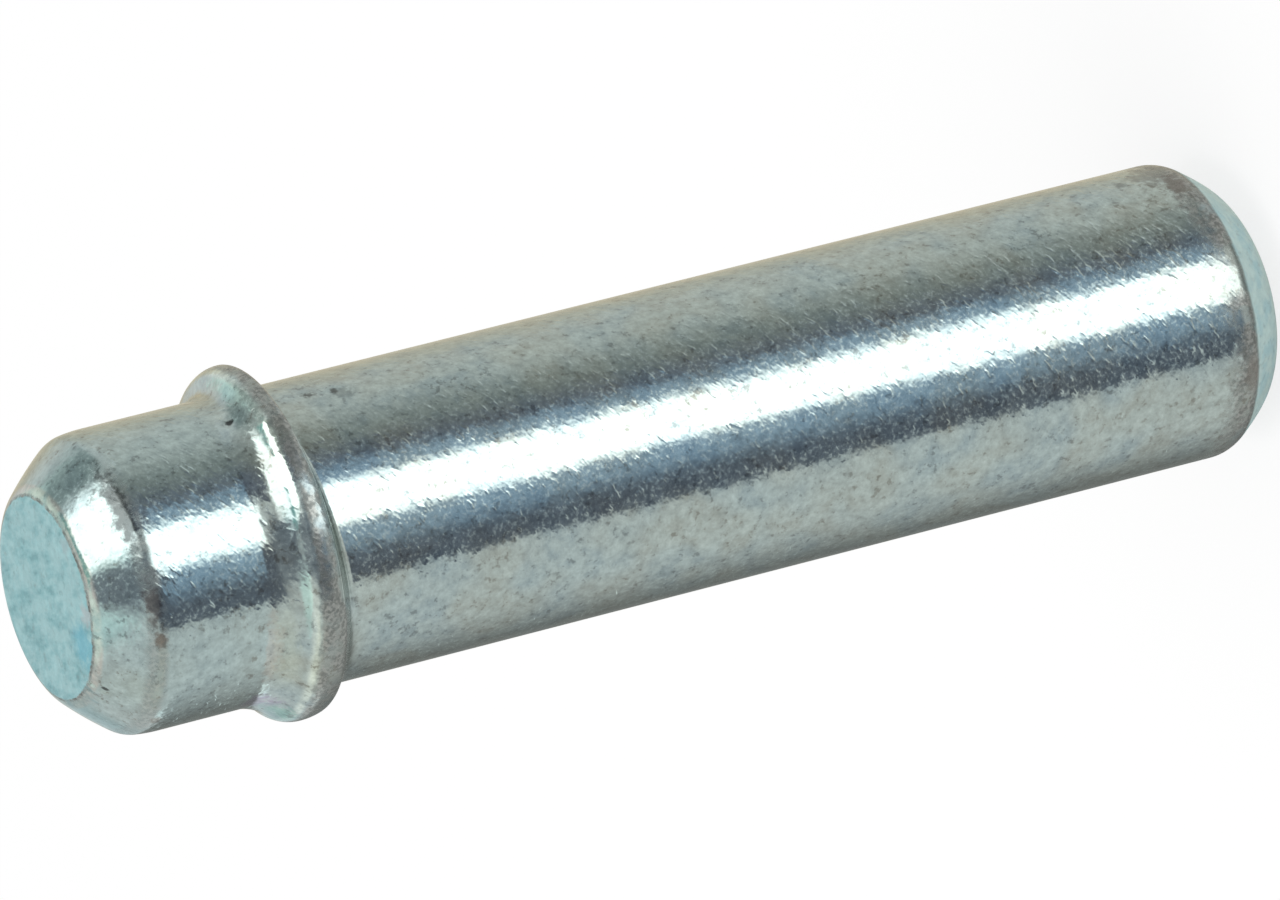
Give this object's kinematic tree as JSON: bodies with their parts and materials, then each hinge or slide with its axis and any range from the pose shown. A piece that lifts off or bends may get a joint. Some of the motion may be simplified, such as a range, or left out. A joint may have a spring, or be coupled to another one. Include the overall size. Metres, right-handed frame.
{
  "type": "drive pin",
  "caption": "Solid round drive pin with a rolled collar near its short pilot end and both ends eased, in blue-passivated zinc plate.",
  "frame": {"origin": "centre of the foot's flat face, which the pin stands on", "axes": "+Z along the pin's axis, from the foot at the long plain end to the pilot end"},
  "size_m": [0.0119, 0.0118, 0.044],
  "materials": {
    "zinc_plate": "zinc plated steel with a blue passivate, satin"
  },
  "bodies": {
    "root": {"drive_pin": "zinc_plate"}
  },
  "joints": []
}
